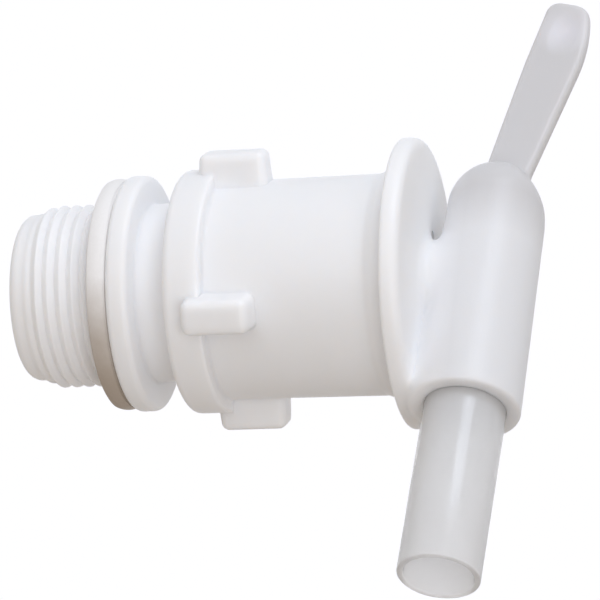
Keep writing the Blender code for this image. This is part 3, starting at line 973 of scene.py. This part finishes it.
def clear_plastic(name):
    """Clear extruded tube, a little milky and softly uneven, with a glossy coat."""
    material, nodes, links = new_material(name)
    shader = nodes["Principled BSDF"]
    haze = noise(nodes, links, tube_haze_scale, 2, 11)
    colour = blend_colours(nodes, links, haze, tube_light, tube_dark)
    links.new(colour, shader.inputs["Base Color"])
    links.new(spread(nodes, links, haze, *tube_roughness), shader.inputs["Roughness"])
    uneven = noise(nodes, links, tube_wave_scale, 2, 12)
    links.new(bump(nodes, links, uneven, *tube_wave_bump), shader.inputs["Normal"])
    shader.inputs["Transmission Weight"].default_value = tube_transmission
    shader.inputs["IOR"].default_value = tube_ior
    shader.inputs["Coat Weight"].default_value = tube_coat
    shader.inputs["Coat Roughness"].default_value = tube_coat_roughness
    shader.inputs["Subsurface Weight"].default_value = 1.0
    shader.inputs["Subsurface Radius"].default_value = (1.0, 1.0, 1.0)
    shader.inputs["Subsurface Scale"].default_value = tube_scatter
    return material


def rubber(name, light, dark, roughness, grain_scale, seed):
    """Matt rubber with fine grain."""
    material, nodes, links = new_material(name)
    shader = nodes["Principled BSDF"]
    speck = noise(nodes, links, grain_scale, 3, seed)
    links.new(blend_colours(nodes, links, speck, light, dark), shader.inputs["Base Color"])
    smoothest, roughest = roughness - rubber_roughness_spread, roughness + rubber_roughness_spread
    links.new(spread(nodes, links, speck, smoothest, roughest), shader.inputs["Roughness"])
    links.new(bump(nodes, links, speck, *rubber_bump), shader.inputs["Normal"])
    return material


def washer_rubber(name):
    """Off-white rubber with a tan painted shade round its lower side."""
    look = (washer_light, washer_dark, washer_roughness, washer_grain_scale)
    material = rubber(name, *look, 31.0)
    nodes, links = material.node_tree.nodes, material.node_tree.links
    shader = nodes["Principled BSDF"]
    unshaded = shader.inputs["Base Color"].links[0].from_socket
    # Painted shade: tan towards the washer's bottom, its edge broken by clouds.
    split = nodes.new("ShaderNodeSeparateXYZ")
    links.new(nodes.new("ShaderNodeTexCoord").outputs["Object"], split.inputs["Vector"])
    drift = noise(nodes, links, washer_shade_cloud_scale, 3, 33.0)
    cloud = spread(nodes, links, drift, -washer_shade_cloud, washer_shade_cloud)
    height = nodes.new("ShaderNodeMath")
    links.new(split.outputs["Z"], height.inputs[0])
    links.new(cloud, height.inputs[1])
    washer_shade_share = ramp(nodes, links, height.outputs["Value"], *washer_shade_z)
    links.new(tint(nodes, links, washer_shade_share, unshaded, washer_shade_colour), shader.inputs["Base Color"])
    return material


def dress(piece, material, body, node):
    """Shades a piece, gives it its material and puts it in the place of its solid."""
    piece.data.name = piece.name
    piece.data.shade_smooth()
    piece.data.set_sharp_from_angle(angle=math.radians(sharp_angle_deg))
    piece.data.materials.clear()
    piece.data.materials.append(material)
    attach(piece, body)
    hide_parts(node)


def make_pieces():
    """Makes the materials and every piece, and dresses each piece for its solid."""
    white = moulded_plastic("white_moulding", white_light, white_dark, white_roughness, 1.0)
    natural = key_plastic("natural_moulding", 21.0)
    clear = clear_plastic("clear_tube")
    shaded_washer = washer_rubber("washer_rubber_stained")
    grain = rubber_grain_scale
    seal = rubber("seal_rubber", seal_light, seal_dark, seal_roughness, grain, 41.0)
    black = rubber("ring_rubber", ring_light, ring_dark, ring_roughness, grain, 51.0)
    dress(tap_body(), white, "body", "tap_body")
    dress(sealing_washer(), shaded_washer, "body", "sealing_washer")
    dress(seat_seal(), seal, "body", "seat_seal")
    dress(air_tube(), natural, "body", "air_tube")
    dress(turning_key(), natural, "key", "turning_key")
    dress(spout_tube(), clear, "key", "spout_tube")
    dress(port_disc(), natural, "key", "port_disc")
    dress(o_ring("front_ring", front_groove_x), black, "key", "front_o_ring")
    dress(o_ring("rear_ring", rear_groove_x), black, "key", "rear_o_ring")


# Studio

camera_azimuth_deg = 16.075
camera_elevation_deg = -34.12
camera_roll_deg = 7.033
camera_distance = 0.700
camera_target = Vector((0.027669, 0.0, -0.002141))
picture_width_px = 600
px_per_metre_at_target = 6970
frame_width_at_target = picture_width_px / px_per_metre_at_target
sensor_width = 36.0
nearest_seen = 0.01
farthest_seen = 100
floor_depth = 1.3
floor_size = 200.0
floor_light = (0.63, 0.57, 0.505)
floor_dark = (0.61, 0.55, 0.485)
floor_tone_scale = 0.6
floor_roughness = 0.9
horizon_colour = (0.4525, 0.417, 0.383)
air_colour = (0.70, 0.71, 0.74)
air_full_height = 0.5
wall_colour = (1.0, 1.0, 1.04)
wall_white_deg = 8
wall_edge_deg = 30

# Lamps: metres sideways, upwards and towards the camera, size, watts and colour
key_lamp = (0.26, 0.88, 0.40, 0.45, 2.6, (0.80, 0.87, 1.0))
left_lamp = (-0.34, 0.46, 0.98, 0.7, 2.0, (0.89, 0.93, 1.0))
right_lamp = (0.30, -0.14, 0.93, 0.5, 2.25, (0.90, 0.93, 1.0))


def view_axes():
    """The camera's right, up and back directions at the photograph's angle."""
    azimuth = math.radians(camera_azimuth_deg)
    elevation = math.radians(camera_elevation_deg)
    back_x = math.sin(azimuth) * math.cos(elevation)
    back_y = -math.cos(azimuth) * math.cos(elevation)
    back = Vector((back_x, back_y, math.sin(elevation)))
    right = Vector((math.cos(azimuth), math.sin(azimuth), 0))
    up = back.cross(right)
    roll = math.radians(camera_roll_deg)
    rolled_right = right * math.cos(roll) + up * math.sin(roll)
    rolled_up = up * math.cos(roll) - right * math.sin(roll)
    return rolled_right, rolled_up, back


def make_camera():
    """The camera at the photograph's place."""
    right, up, back = view_axes()
    camera = bpy.data.objects.new("camera", bpy.data.cameras.new("camera"))
    bpy.context.scene.collection.objects.link(camera)
    place = Matrix.Translation(camera_target + back * camera_distance)
    camera.matrix_world = place @ Matrix((right, up, back)).transposed().to_4x4()
    camera.data.sensor_width = sensor_width
    camera.data.lens = sensor_width * camera_distance / frame_width_at_target
    camera.data.clip_start = nearest_seen
    camera.data.clip_end = farthest_seen
    bpy.context.scene.camera = camera


def make_lamp(name, sideways, upwards, towards, size, power, colour):
    """A square lamp placed by the camera's directions round the target, and turned to it."""
    right, up, back = view_axes()
    data = bpy.data.lights.new(name, "AREA")
    data.shape = "SQUARE"
    data.size = size
    data.energy = power
    data.color = colour
    lamp = bpy.data.objects.new(name, data)
    bpy.context.scene.collection.objects.link(lamp)
    lamp.location = camera_target + right * sideways + up * upwards + back * towards
    lamp.rotation_mode = "QUATERNION"
    lamp.rotation_quaternion = (camera_target - lamp.location).to_track_quat("-Z", "Y")


def make_floor():
    """A wide pale floor, far enough below the part that no shadow shows."""
    half = floor_size / 2
    corners = [(-half, -half), (half, -half), (half, half), (-half, half)]
    floor = mesh_object("floor", [(x, y, -floor_depth) for x, y in corners], [(0, 1, 2, 3)])
    material, nodes, links = new_material("pale_floor")
    shader = nodes["Principled BSDF"]
    tone = noise(nodes, links, floor_tone_scale, 2, 61)
    colour = blend_colours(nodes, links, tone, floor_light, floor_dark)
    links.new(colour, shader.inputs["Base Color"])
    shader.inputs["Roughness"].default_value = floor_roughness
    floor.data.materials.append(material)


def make_world():
    """Soft studio air: floor-toned at the horizon, pale above, a white wall beyond the part."""
    world = bpy.data.worlds.new("studio")
    world.use_nodes = True
    nodes, links = world.node_tree.nodes, world.node_tree.links
    background = nodes["Background"]
    direction = nodes.new("ShaderNodeTexCoord").outputs["Generated"]
    split = nodes.new("ShaderNodeSeparateXYZ")
    links.new(direction, split.inputs["Vector"])
    height = ramp(nodes, links, split.outputs["Z"], 0.0, air_full_height)
    height.node.interpolation_type = "SMOOTHSTEP"
    facing = nodes.new("ShaderNodeVectorMath")
    facing.operation = "DOT_PRODUCT"
    links.new(direction, facing.inputs[0])
    facing.inputs[1].default_value = -view_axes()[2]
    edge = math.cos(math.radians(wall_edge_deg))
    middle = math.cos(math.radians(wall_white_deg))
    wall = ramp(nodes, links, facing.outputs["Value"], edge, middle)
    wall.node.interpolation_type = "SMOOTHSTEP"
    air = blend_colours(nodes, links, height, horizon_colour, air_colour)
    links.new(tint(nodes, links, wall, air, wall_colour), background.inputs["Color"])
    bpy.context.scene.world = world


bpy.context.scene.view_settings.view_transform = "Standard"
make_camera()
make_lamp("key_light", *key_lamp)
make_lamp("left_light", *left_lamp)
make_lamp("right_light", *right_lamp)
make_floor()
make_world()
make_pieces()
